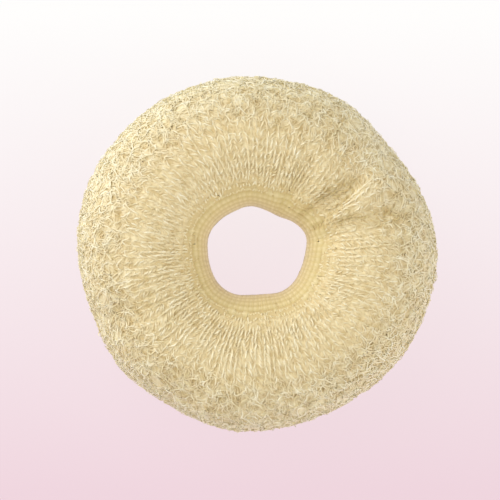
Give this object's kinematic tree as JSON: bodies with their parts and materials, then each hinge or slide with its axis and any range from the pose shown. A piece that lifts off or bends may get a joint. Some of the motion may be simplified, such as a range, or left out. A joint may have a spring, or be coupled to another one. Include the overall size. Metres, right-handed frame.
{
  "type": "hair donut bun maker",
  "caption": "Soft ring of crinkled knitted net, rolled on itself; a ponytail goes through the hole and is spread over the roll to fill out a bun.",
  "frame": {"origin": "on the surface that the ring lies on, below the middle of its box", "axes": "+Z up through the hole; +X to the right and +Y up in a view from straight above, where the fold in the face points between them"},
  "size_m": [0.0914, 0.09, 0.0338],
  "materials": {
    "inner_net": "packed turns of pale straw nylon net, matt",
    "outer_net": "crinkled pale straw nylon knit, slight sheen"
  },
  "bodies": {
    "root": {"wound_core": "inner_net", "outer_turn": "outer_net"}
  },
  "joints": []
}
